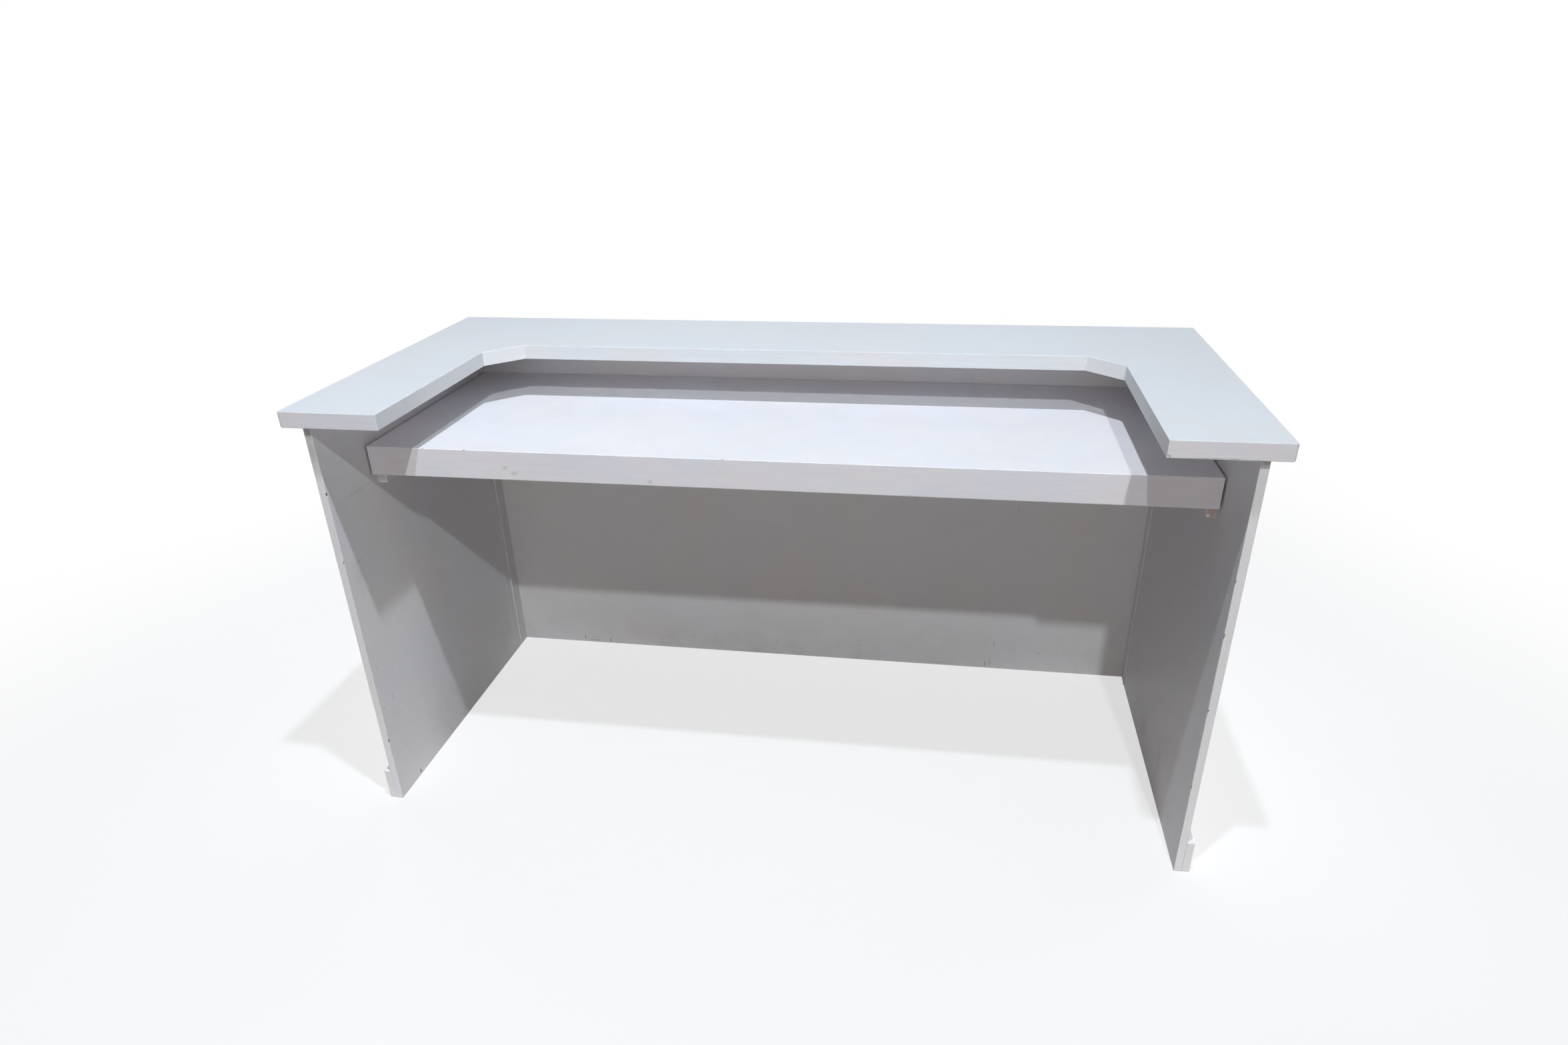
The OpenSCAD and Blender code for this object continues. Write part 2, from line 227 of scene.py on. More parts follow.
# Chips knocked out of the arrises: board, whether paint has covered them since, middle and half size in
# millimetres
CHIPS = [
    ("top_doubler_right", True, (806.3, -468.3, 1036.6), (5.1, 3.5, 5.0)),
    ("top_doubler_right", True, (848.1, -468.4, 1033.7), (10.3, 1.6, 2.5)),
    ("top_doubler_right", True, (868.1, -468.4, 1034.2), (19.9, 1.7, 3.5)),
    ("top_doubler_right", True, (894.2, -468.1, 1034.0), (14.0, 1.9, 4.5)),
    ("top_doubler_right", True, (926.0, -468.4, 1033.8), (27.4, 1.7, 4.2)),
    ("top_doubler_right", True, (959.9, -468.3, 1034.0), (17.8, 1.3, 2.8)),
    ("shelf_board", False, (-831, -264, 922), (3, 1.4, 1.2)),
    ("shelf_board", False, (-727, -264, 922), (4, 1.6, 1.4)),
    ("shelf_board", False, (-104, -264, 922), (3, 1.2, 1.0)),
    ("wing_left", False, (-980, -443, 872), (2.2, 2.4, 8)),
    ("wing_left", False, (-980, -443, 188), (1.8, 2, 6)),
    ("wing_left", False, (-980, -443, 700), (1.3, 1.4, 7)),
    ("wing_right", False, (980, -443, 770), (1.5, 1.6, 9)),
    ("wing_right", False, (980, -443, 640), (1.4, 1.4, 12)),
    ("wing_right", False, (980, -443, 455), (1.6, 1.5, 7)),
    ("wing_right", False, (980, -443, 250), (1.4, 1.4, 10)),
]

# How far a light lip of paint reaches round a covered chip, in millimetres
LIP = 1.2

# How a bare chip is turned about each axis, so that no two look alike: the step from one to the next, and the
# angle at which the turns start again
CHIP_TURNS = ((0.13, 0.4), (0.21, 0.5), (0.17, 0.3))


# Settings that a user would change

class BarPaint(bpy.types.PropertyGroup):
    counter: bpy.props.FloatVectorProperty(
        name="Counter", description="Paint on the counter's faces",
        subtype="COLOR", size=3, min=0, max=1, default=(0.725, 0.75, 0.777))
    shelf: bpy.props.FloatVectorProperty(
        name="Shelf", description="Paint on the work shelf's faces",
        subtype="COLOR", size=3, min=0, max=1, default=(0.865, 0.865, 0.89))
    edge: bpy.props.FloatVectorProperty(
        name="Edges", description="Brushed paint on the edges of the counter and the shelf",
        subtype="COLOR", size=3, min=0, max=1, default=(0.84, 0.823, 0.857))
    cut_out: bpy.props.FloatVectorProperty(
        name="Cut-out", description="Brushed paint on the faces of the counter's cut-out",
        subtype="COLOR", size=3, min=0, max=1, default=(0.755, 0.768, 0.785))
    # Lighter than the carcass paint: painted light on the edges of the wings
    ends: bpy.props.FloatVectorProperty(
        name="Wing edges", description="Brushed paint on the edges of the wings",
        subtype="COLOR", size=3, min=0, max=1, default=(0.92, 0.905, 0.92))
    carcass: bpy.props.FloatVectorProperty(
        name="Carcass", description="Paint on the carcass, the cleats, the hinges and the painted screws",
        subtype="COLOR", size=3, min=0, max=1, default=(0.742, 0.735, 0.752))
    # Lighter than the carcass paint: painted light on the skirting
    skirting: bpy.props.FloatVectorProperty(
        name="Skirting", description="Paint on the skirting",
        subtype="COLOR", size=3, min=0, max=1, default=(0.92, 0.905, 0.915))
    core: bpy.props.FloatVectorProperty(
        name="Bare board", description="Board that shows where paint is knocked off",
        subtype="COLOR", size=3, min=0, max=1, default=(0.31, 0.27, 0.23))
    wood: bpy.props.FloatVectorProperty(
        name="Battens", description="Planed softwood of the battens",
        subtype="COLOR", size=3, min=0, max=1, default=(0.56, 0.40, 0.24))
    steel: bpy.props.FloatVectorProperty(
        name="Steel", description="Zinc-plated steel of the pins and bare screws",
        subtype="COLOR", size=3, min=0, max=1, default=(0.56, 0.56, 0.57))
    roughness: bpy.props.FloatProperty(
        name="Roughness", description="Roughness of the satin paint",
        subtype="FACTOR", min=0.1, max=1, default=0.52)
    gloss: bpy.props.FloatProperty(
        name="Gloss", description="Strength of the paint's sheen, where 0.5 is that of plastic",
        subtype="FACTOR", min=0, max=1, default=0.32)


class BarArrises(bpy.types.PropertyGroup):
    board: bpy.props.FloatProperty(
        name="Boards", description="Width of the eased arrises of the boards",
        subtype="DISTANCE", unit="LENGTH", min=0.2 * MM, max=4 * MM, default=1.2 * MM)
    corner: bpy.props.FloatProperty(
        name="Counter's corners", description="Width of the eased outer corners of the counter",
        subtype="DISTANCE", unit="LENGTH", min=0.2 * MM, max=8 * MM, default=5 * MM)
    shelf: bpy.props.FloatProperty(
        name="Shelf", description="Width of the eased lower arris of the shelf's near edge",
        subtype="DISTANCE", unit="LENGTH", min=0.2 * MM, max=6 * MM, default=2.6 * MM)
    skirting: bpy.props.FloatProperty(
        name="Skirting", description="Width of the eased arrises of the skirting",
        subtype="DISTANCE", unit="LENGTH", min=0.2 * MM, max=6 * MM, default=2.2 * MM)
    batten: bpy.props.FloatProperty(
        name="Battens", description="Width of the eased arrises of the battens and the cleats",
        subtype="DISTANCE", unit="LENGTH", min=0.2 * MM, max=4 * MM, default=1.5 * MM)
    steps: bpy.props.IntProperty(
        name="Steps", description="Number of faces across one arris", min=1, max=6, default=3)


class BarStudio(bpy.types.PropertyGroup):
    sky: bpy.props.FloatProperty(
        name="Sky", description="Even light from all round", min=0, max=2, default=0.10)
    floor: bpy.props.FloatVectorProperty(
        name="Floor", description="Light that the floor throws back round the bar",
        subtype="COLOR", size=3, min=0, max=1, default=(0.62, 0.585, 0.56))
    floor_under: bpy.props.FloatVectorProperty(
        name="Floor under the bar", description="Light that the floor throws back under the bar",
        subtype="COLOR", size=3, min=0, max=1, default=(0.14, 0.112, 0.095))
    floor_far: bpy.props.FloatVectorProperty(
        name="Floor far off", description="Light that the floor throws back away from the bar",
        subtype="COLOR", size=3, min=0, max=1, default=(0.14, 0.125, 0.115))
    floor_white: bpy.props.FloatProperty(
        name="Floor white", description="Share of the floor's white that takes no shadow",
        subtype="FACTOR", min=0, max=1, default=0.62)
    floor_radius: bpy.props.FloatProperty(
        name="Floor radius", description="Radius of the floor",
        subtype="DISTANCE", unit="LENGTH", min=3, max=30, default=9)


class BarCamera(bpy.types.PropertyGroup):
    place: bpy.props.FloatVectorProperty(
        name="Place", description="Where the camera stands",
        subtype="TRANSLATION", unit="LENGTH", size=3, default=(0.380, -2.297, 1.685))
    aim: bpy.props.FloatVectorProperty(
        name="Aim", description="Point that the camera's axis passes through",
        subtype="TRANSLATION", unit="LENGTH", size=3, default=(-0.013, 0.0, 0.489))
    roll: bpy.props.FloatProperty(
        name="Roll", description="Turn about the camera's axis",
        subtype="ANGLE", unit="ROTATION", default=radians(-1.318))
    lens: bpy.props.FloatProperty(
        name="Lens", description="Focal length on a 36 mm wide sensor",
        subtype="DISTANCE_CAMERA", min=5, max=200, default=22.393)
    shift: bpy.props.FloatProperty(
        name="Shift", description="Upward shift, as a share of the picture's width",
        subtype="FACTOR", min=-1, max=1, default=0.0361)


# Lamps: place, what they shine at, width and height, level on a facing surface, colour, whether the paint's
# sheen shows them and, for a narrow beam, its angle
LAMPS = {
    "lamp_above": ((0.35, -1.17, 4.5), (-2.2, 1.4, 1.0), (0.12, 0.12), 0.42, (0.93, 0.985, 1.09), True),
    "lamp_front": ((1.35, -5.1, 5.6), (0.0, 0.0, 0.9), (0.14, 0.14), 0.32, (0.955, 1.015, 1.03), True),
    "lamp_beyond": ((-0.2, 3.4, 5.0), (0.0, 0.0, 1.0), (1.2, 0.5), 0.04, (1.0, 1.0, 1.0), False),
    "fill_level": ((0.2, -3.8, 1.15), (0.0, 0.0, 0.95), (3.4, 0.5), 0.07, (1.04, 0.995, 0.965), False),
    "fill_high": ((0.1, -6.0, 2.4), (0.0, 0.0, 0.85), (2.0, 0.8), 0.08, (1.04, 0.995, 0.965), False),
    "fill_left": ((-4.2, 2.6, 0.5), (0.0, 0.0, 0.5), (2.4, 0.9), 0.55, (1.0, 1.0, 1.0), False),
    "fill_right": ((4.2, 2.6, 0.5), (0.0, 0.0, 0.5), (2.4, 0.9), 0.55, (1.0, 1.0, 1.0), False),
    "fill_side": ((4.0, -0.86, 0.35), (-0.98, -0.35, 0.12), (0.3, 0.5), 0.09, (1.0, 1.0, 1.0), False,
                  radians(24)),
}

# Distances from the middle between which the floor's look turns to plain white, in metres
WHITE_RIM = (1.7, 3.4)

# Distances between which the light that the floor throws back changes, first from under the bar to beside it
# and then to far off, in half sizes of the bar
UNDER_RIM, FAR_RIM = (0.85, 1.15), (1.7, 2.9)

WHITE = (1, 1, 1, 1)


# Nodes of the materials

def feed(tree, node, inputs):
    """Set each of these inputs of a node to its value, or link it to its socket."""
    for name, value in inputs.items():
        if isinstance(value, bpy.types.NodeSocket):
            tree.links.new(value, node.inputs[name])
        else:
            node.inputs[name].default_value = value


def make(tree, kind, inputs=None, **settings):
    """A node of that kind, with its settings and its inputs."""
    node = tree.nodes.new(kind)
    for name, value in settings.items():
        setattr(node, name, value)
    feed(tree, node, inputs or {})
    return node


def noise(tree, place, scale, detail=3.0, roughness=0.5):
    node = make(tree, "ShaderNodeTexNoise",
                {"Vector": place, "Scale": scale, "Detail": detail, "Roughness": roughness})
    return node.outputs["Fac"]


def stretched(tree, place, scale):
    """Coordinates scaled by a different number along each axis."""
    return make(tree, "ShaderNodeVectorMath", {0: place, 1: scale}, operation="MULTIPLY").outputs[0]


def drawn_out(tree, place, across, along, axis):
    """Coordinates for grain and brush strokes that run along an axis, from 0 to 2 for X, Y and Z."""
    scale = [across] * 3
    scale[axis] = along
    return stretched(tree, place, scale)


def span(tree, value, low, high, to_low, to_high, smooth=False):
    """value, from low to high, brought to the span from to_low to to_high."""
    node = make(tree, "ShaderNodeMapRange",
                {"Value": value, "From Min": low, "From Max": high,
                 "To Min": to_low, "To Max": to_high},
                interpolation_type="SMOOTHSTEP" if smooth else "LINEAR")
    return node.outputs["Result"]


def swing(tree, value, low, high):
    """The usual swing of a noise, brought to the span from low to high."""
    return span(tree, value, 0.3, 0.7, low, high)


def calc(tree, operation, first, *others):
    """The values joined by the operation, one after another."""
    for other in others:
        first = make(tree, "ShaderNodeMath", {0: first, 1: other}, operation=operation).outputs[0]
    return first


def length(tree, vector):
    return make(tree, "ShaderNodeVectorMath", {0: vector}, operation="LENGTH").outputs["Value"]


def blend(tree, factor, first, second):
    """Colour that runs from first to second with factor."""
    node = make(tree, "ShaderNodeMix", {"Factor": factor}, data_type="RGBA")
    colours = [s for s in node.inputs if s.type == "RGBA"]
    for socket, value in zip(colours, (first, second)):
        if isinstance(value, bpy.types.NodeSocket):
            tree.links.new(value, socket)
        else:
            socket.default_value = (*value, 1.0)
    return [s for s in node.outputs if s.type == "RGBA"][0]


def toned(tree, colour, tone):
    """Colour made lighter or darker by tone."""
    node = make(tree, "ShaderNodeVectorMath", {0: colour, "Scale": tone}, operation="SCALE")
    return node.outputs[0]


def drifting(tree, place, scale, colour, first, second):
    """Colour that drifts between two casts over the board, each a factor for red, green and blue."""
    patches = span(tree, noise(tree, place, scale, 2), 0.35, 0.65, 0.0, 1.0, smooth=True)
    return blend(tree, patches, Vector(colour) * Vector(first), Vector(colour) * Vector(second))


def marked(tree, place, colour, marks):
    """Colour with each mark laid over it at its place on the board."""
    if not marks:
        return colour
    ragged = calc(tree, "SUBTRACT", noise(tree, place, 160, 3), 0.5)
    for kind, middle, reach in marks:
        tint, strength, soft, rough = MARK_KINDS[kind]
        away = make(tree, "ShaderNodeVectorMath", {0: place, 1: Vector(middle) * MM}, operation="SUBTRACT")
        shares = make(tree, "ShaderNodeVectorMath", {0: away.outputs[0], 1: Vector(reach) * MM},
                      operation="DIVIDE")
        rim = calc(tree, "ADD", length(tree, shares.outputs[0]), calc(tree, "MULTIPLY", ragged, rough))
        inside = span(tree, rim, 1.0, 1.0 - soft, 0.0, strength, smooth=True)
        colour = blend(tree, inside, colour, tint)
    return colour


def new_material(name):
    """A material with nodes, its shader and its Object coordinates."""
    material = bpy.data.materials.new(name)
    material.use_nodes = True
    tree = material.node_tree
    place = make(tree, "ShaderNodeTexCoord").outputs["Object"]
    shader = tree.nodes["Principled BSDF"]
    shader.inputs["Specular IOR Level"].default_value = bpy.context.scene.bar_paint.gloss
    return material, tree, shader, place


def surfaced(tree, shader, colour, roughness, relief, strength, depth):
    """Give the shader its colour and roughness, and its relief as bump of that strength and depth."""
    bump = make(tree, "ShaderNodeBump", {"Height": relief, "Strength": strength, "Distance": depth})
    feed(tree, shader, {"Base Color": colour, "Roughness": roughness, "Normal": bump.outputs[0]})


def rolled_paint(name, colour, roughness, marks=(), foot=0.0):
    """Satin paint laid on with a roller: faint stipple, slow change of tone, and marks. foot is how far
    dirt climbs from the floor."""
    material, tree, shader, place = new_material(name)
    mottled = noise(tree, place, 14, 4, 0.6)
    stipple = noise(tree, place, 420, 2)
    tone = calc(tree, "MULTIPLY", swing(tree, noise(tree, place, 1.7, 3), 0.975, 1.02),
                swing(tree, mottled, 0.985, 1.012), swing(tree, stipple, 0.95, 1.04))
    tint = drifting(tree, place, 4.3, colour, (0.99, 1.0, 1.015), (1.012, 1.0, 0.982))
    paint = toned(tree, tint, tone)
    if foot:
        height = make(tree, "ShaderNodeSeparateXYZ", {0: place}).outputs["Z"]
        low = span(tree, height, foot, 0.0, 0.0, 0.22, smooth=True)
        dirt = calc(tree, "MULTIPLY", low, span(tree, noise(tree, place, 9, 5, 0.65), 0.46, 0.75, 0.0, 1.0))
        paint = blend(tree, dirt, paint, (0.33, 0.31, 0.29))
    pile = calc(tree, "ADD", calc(tree, "MULTIPLY", stipple, 0.7),
                calc(tree, "MULTIPLY", noise(tree, place, 130, 2), 0.6))
    surfaced(tree, shader, marked(tree, place, paint, marks),
             swing(tree, mottled, roughness - 0.05, roughness + 0.06), pile, 0.35, 0.12 * MM)
    return material


def brushed_paint(name, colour, roughness, stroke, marks=()):
    """Paint laid on with a brush along an edge: fine strokes that run along the axis that stroke names."""
    material, tree, shader, place = new_material(name)
    strokes = noise(tree, drawn_out(tree, place, 420.0, 14.0, stroke), 1.0, 4, 0.65)
    bands = noise(tree, drawn_out(tree, place, 90.0, 4.0, stroke), 1.0, 2)
    tone = calc(tree, "MULTIPLY", swing(tree, strokes, 0.96, 1.03), swing(tree, bands, 0.985, 1.01),
                swing(tree, noise(tree, place, 2.3, 3), 0.98, 1.02))
    tint = drifting(tree, place, 7, colour, (0.985, 1.0, 1.02), (1.015, 0.997, 0.98))
    surfaced(tree, shader, marked(tree, place, toned(tree, tint, tone), marks),
             swing(tree, bands, roughness - 0.04, roughness + 0.08), strokes, 0.45, 0.12 * MM)
    return material


def worn_and_highlit_paint(name, colour, roughness, core):
    """Worn paint along an arris, lighter in spots as a painted highlight of the eased edge, with bare board
    in the spots where it is knocked through.
    """
    material, tree, shader, place = new_material(name)
    worn = noise(tree, place, 34, 4, 0.65)
    # The lighter tone that rubbed lays in spots along the arris is a painted highlight of the eased edge
    rubbed = span(tree, worn, 0.40, 0.62, 0.0, 1.0, smooth=True)
    paint = blend(tree, rubbed, toned(tree, colour, 1.16), colour)
    through = span(tree, noise(tree, place, 21, 5, 0.7), 0.68, 0.74, 0.0, 0.7)
    surfaced(tree, shader, blend(tree, through, paint, core), roughness + 0.1, worn, 0.5, 0.3 * MM)
    return material


def bare_board(name, core):
    """The broken board inside a chip."""
    material, tree, shader, place = new_material(name)
    grit = noise(tree, place, 600, 4, 0.7)
    surfaced(tree, shader, toned(tree, core, swing(tree, grit, 0.75, 1.25)), 0.85, grit, 0.8, 0.4 * MM)
    return material


def softwood(name, colour, grain):
    """Planed softwood with growth rings drawn out along the axis that grain names."""
    material, tree, shader, place = new_material(name)
    rings = make(tree, "ShaderNodeTexWave",
                 {"Vector": drawn_out(tree, place, 42.0, 2.2, grain), "Scale": 1.3, "Distortion": 3.5,
                  "Detail": 3.0, "Detail Scale": 1.4},
                 wave_type="BANDS", bands_direction="DIAGONAL").outputs["Fac"]
    fibres = noise(tree, drawn_out(tree, place, 900.0, 14.0, grain), 1.0, 3, 0.6)
    wood = blend(tree, span(tree, rings, 0.35, 0.9, 0.0, 0.55), colour, Vector(colour) * 0.62)
    surfaced(tree, shader, toned(tree, wood, swing(tree, fibres, 0.9, 1.08)), 0.68, fibres, 0.5, 0.15 * MM)
    return material


def painted_steel(name, colour, steel, roughness):
    """Hinge or screw painted over with the boards, with the paint rubbed off in spots."""
    material, tree, shader, place = new_material(name)
    runs = noise(tree, drawn_out(tree, place, 300.0, 22.0, 2), 1.0, 3)
    rubbed = span(tree, noise(tree, place, 70, 5, 0.7), 0.63, 0.69, 0.0, 1.0)
    paint = toned(tree, colour, swing(tree, runs, 0.95, 1.04))
    surfaced(tree, shader, blend(tree, rubbed, paint, steel), span(tree, rubbed, 0.0, 1.0, roughness, 0.38),
             runs, 0.4, 0.1 * MM)
    feed(tree, shader, {"Metallic": calc(tree, "MULTIPLY", rubbed, 0.85)})
    return material


def zinc_steel(name, colour):
    """Zinc-plated steel with fine scratches and a dull bloom."""
    material, tree, shader, place = new_material(name)
    bloom = noise(tree, place, 240, 4, 0.6)
    scratches = noise(tree, drawn_out(tree, place, 3000.0, 160.0, 2), 1.0, 2)
    surfaced(tree, shader, toned(tree, colour, swing(tree, bloom, 0.86, 1.1)),
             swing(tree, bloom, 0.30, 0.48), scratches, 0.3, 0.04 * MM)
    shader.inputs["Metallic"].default_value = 1.0
    return material


# Modelling

def only(piece):
    """Select that piece and nothing else."""
    bpy.ops.object.select_all(action="DESELECT")
    piece.select_set(True)
    bpy.context.view_layer.objects.active = piece


def added(name):
    """The object that an operator has just added, under its own name, with its place in its mesh."""
    piece = bpy.context.active_object
    piece.name = piece.data.name = name
    bpy.ops.object.transform_apply(location=True, rotation=True, scale=True)
    return piece


def block(name, low, high):
    bpy.ops.object.select_all(action="DESELECT")
    bpy.ops.mesh.primitive_cube_add(size=1, location=(low + high) / 2, scale=high - low)
    return added(name)


def edges_picked(piece, wanted):
    """Go into edit mode and select just the sharp convex edges that wanted(middle, direction) names."""
    only(piece)
    bpy.ops.object.mode_set(mode="EDIT")
    bpy.ops.mesh.select_mode(type="EDGE")
    bpy.ops.mesh.select_all(action="DESELECT")
    mesh = bmesh.from_edit_mesh(piece.data)
    mesh.normal_update()
    for edge in mesh.edges:
        first, second = (v.co for v in edge.verts)
        sharp = edge.is_convex and edge.calc_face_angle(0) > SHARP
        if sharp and wanted((first + second) / 2, (second - first).normalized()):
            edge.select_set(True)
    bmesh.update_edit_mesh(piece.data)


def eased(piece, width, wanted):
    """Round the arrises that wanted names; their new faces take the arris paint, worn and with a painted
    highlight.
    """
    edges_picked(piece, wanted)
    steps = bpy.context.scene.bar_arrises.steps
    bpy.ops.mesh.bevel(offset=width, segments=steps, profile=0.5, affect="EDGES", material=ARRIS)
    bpy.ops.object.mode_set(mode="OBJECT")


def cut_away(piece, cutter, lining=None):
    """Take the cutter's shape out of the piece and throw the cutter away. lining is the material inside."""
    if lining:
        cutter.data.materials.append(lining)
    only(piece)
    cut = piece.modifiers.new("Cut", "BOOLEAN")
    cut.operation = "DIFFERENCE"
    cut.object = cutter
    cut.material_mode = "TRANSFER"
    bpy.ops.object.modifier_apply(modifier=cut.name)
    mesh = cutter.data
    bpy.data.objects.remove(cutter)
    bpy.data.meshes.remove(mesh)


def chipped(piece, node):
    """Knock this board's chips out of its arrises."""
    for turn, (board, covered, middle, size) in enumerate(CHIPS):
        if board != node:
            continue
        turned = (0, 0, 0) if covered else [step * turn % most for step, most in CHIP_TURNS]
        bpy.ops.object.select_all(action="DESELECT")
        bpy.ops.mesh.primitive_ico_sphere_add(
            subdivisions=2, radius=1, location=Vector(middle) * MM, scale=Vector(size) * MM, rotation=turned)
        # Covered chips take the arris paint and so its painted highlight
        lining = piece.data.materials[ARRIS] if covered else bpy.data.materials["bare_board"]
        cut_away(piece, added("chip"), lining)


def countersunk(piece, places, axis, screw):
    """Cut a countersink for the head of each screw; axis points out of the board."""
    depth = (screw["head"] - screw["shank"]) / 2
    for place in places:
        bpy.ops.object.select_all(action="DESELECT")
        bpy.ops.mesh.primitive_cone_add(
            vertices=SINK_SIDES, radius1=screw["shank"] / 2 + SHANK_PLAY,
            radius2=screw["head"] / 2 + HEAD_PLAY, depth=depth + SHANK_PLAY,
            location=Vector(place) - axis * depth / 2, rotation=axis.to_track_quat("Z", "Y").to_euler())
        cut_away(piece, added("countersink"), piece.data.materials[FACE])


def stands_for(piece, node, body):
    """Hide the node that the piece stands for, and attach the piece to the body that it moves with."""
    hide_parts(node)
    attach(piece, body)


def painted(node, piece, body, paint_of):
    """Give each face of a board its paint: paint_of names the slot for a face's normal and middle."""
    for polygon in piece.data.polygons:
        if polygon.material_index == FACE:
            polygon.material_index = paint_of(polygon.normal, polygon.center)
    stands_for(piece, node, body)


def marks_on(node):
    """The marks on a board, with a light lip round every chip that paint has covered."""
    lips = [("paint_lip_and_highlight", middle, Vector(size) + Vector((LIP, LIP, LIP)))
            for board, covered, middle, size in CHIPS if covered and board == node]
    return MARKS.get(node, []) + lips


def paint_set(node, colour, stroke, edge_colour=None, foot=0.0):
    """The materials of a board, in the order of their slots."""
    paint = bpy.context.scene.bar_paint
    marks = marks_on(node)
    return [
        rolled_paint(node + "_face", colour, paint.roughness, marks, foot),
        worn_and_highlit_paint(node + "_arris", colour, paint.roughness, paint.core),
        brushed_paint(node + "_edge", edge_colour or colour, paint.roughness, stroke, marks),
    ]


def all_brushed(normal, middle):
    return EDGE


def rolled_across(axis):
    """The paint of a board that lies across that axis: its two broad faces rolled and its edges brushed."""
    def paint_of(normal, middle):
        return EDGE if abs(normal[axis]) < FACING else FACE
    return paint_of


def board_piece(node, materials):
    """A square-edged board of the node's size, with its materials in their slots."""
    low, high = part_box(node)
    piece = block(node + "_painted", low, high)
    for material in materials:
        piece.data.materials.append(material)
    return piece, low, high


def arrises(joints=()):
    """Picks every arris, apart from those on the planes that joints names as (axis, value)."""
    def wanted(middle, direction):
        return not any(abs(middle[axis] - value) < HAIR for axis, value in joints)
    return wanted


def row(count, low, high, end=SCREW_END):
    """Places of the screws along a piece, from low to high; the outer ones are that far from its ends."""
    first, last = low + end, high - end
    return [first + (last - first) * i / (count - 1) for i in range(count)]


class BAR_OT_counter(bpy.types.Operator):
    """Model the counter: the U-shaped top board and the layer that doubles it"""
    bl_idname = "bar.counter"
    bl_label = "Counter"

    def layer(self, node):
        """One layer of the counter: a board with the cut-out sawn from it."""
        paint = bpy.context.scene.bar_paint
        materials = paint_set(node, paint.counter, 0, paint.edge)
        materials.append(brushed_paint(node + "_cut_out", paint.cut_out, paint.roughness, 0,
                                       marks_on(node)))
        piece, low, high = board_piece(node, materials)
        if low.x < -ARM_LOW.x and high.x > ARM_LOW.x:
            cut_away(piece, self.waste(low, high), materials[FACE])
        return piece, low, high

    def waste(self, low, high):
        """The waste of the cut-out, with its far corners slanted off, a little taller than the board."""
        saw = block("saw", Vector((-ARM_LOW.x, BAR_LOW.y - BOARD, low.z - BOARD)),
                    Vector((ARM_LOW.x, ARM_HIGH.y + CORNER_CUT, high.z + BOARD)))
        bpy.ops.object.mode_set(mode="EDIT")
        for side in SIDES.values():
            bpy.ops.mesh.select_all(action="SELECT")
            bpy.ops.mesh.bisect(plane_co=(side * ARM_LOW.x, ARM_HIGH.y, low.z), plane_no=(side, 1, 0),
                                use_fill=True, clear_outer=True)
        bpy.ops.mesh.select_all(action="SELECT")
        bpy.ops.mesh.normals_make_consistent(inside=False)
        bpy.ops.object.mode_set(mode="OBJECT")
        return saw

    def paint_of(self, normal, middle):
        """The top, the cut-out's faces and the rest, the underside too, have a paint each."""
        if abs(normal.z) > FACING:
            # The underside takes the lighter edge paint so that it throws more light back into the shade on
            # the shelf: light painted into its colour
            return FACE if normal.z > 0 else EDGE
        inside = abs(middle.x) < ARM_LOW.x + HAIR and middle.y > BAR_LOW.y + BOARD
        return CUT_OUT if inside and middle.y < ARM_HIGH.y + CORNER_CUT + HAIR else EDGE

    def outer_corner(self, middle, direction):
        """The upright arris at the near end of each arm and the long lower one, on the outside."""
        near = middle.y < BAR_LOW.y + HAIR and abs(direction.z) > RUNNING
        lower = middle.z < ARM_LOW.z + HAIR and abs(direction.y) > RUNNING
        return abs(middle.x) > BAR_HIGH.x - HAIR and (near or lower)

    def execute(self, context):
        widths = context.scene.bar_arrises
        for node in ("top_board", "top_doubler_left", "top_doubler_right", "top_doubler_front"):
            piece, low, high = self.layer(node)
            joints = [(2, low.z if node == "top_board" else high.z)]
            if node in ("top_doubler_left", "top_doubler_right"):
                joints.append((1, high.y))
            if node == "top_doubler_front":
                joints.append((1, low.y))
            eased(piece, widths.corner, self.outer_corner)
            eased(piece, widths.board, arrises(joints))
            chipped(piece, node)
            painted(node, piece, "counter", self.paint_of)
        return {"FINISHED"}


class BAR_OT_battens(bpy.types.Operator):
    """Model the battens that hold the counter inside the carcass"""
    bl_idname = "bar.battens"
    bl_label = "Battens"

    def execute(self, context):
        scene = context.scene
        for node in ("top_batten_left", "top_batten_right", "top_batten_front"):
            low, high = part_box(node)
            grain = 0 if node == "top_batten_front" else 1
            wood = softwood(node + "_wood", scene.bar_paint.wood, grain)
            piece = block(node + "_planed", low, high)
            for slot in (FACE, ARRIS):
                piece.data.materials.append(wood)
            eased(piece, scene.bar_arrises.batten, arrises([(2, high.z)]))
            countersunk(piece, batten_screw_places(node), DOWN, BATTEN_SCREW)
            stands_for(piece, node, "counter")
        return {"FINISHED"}


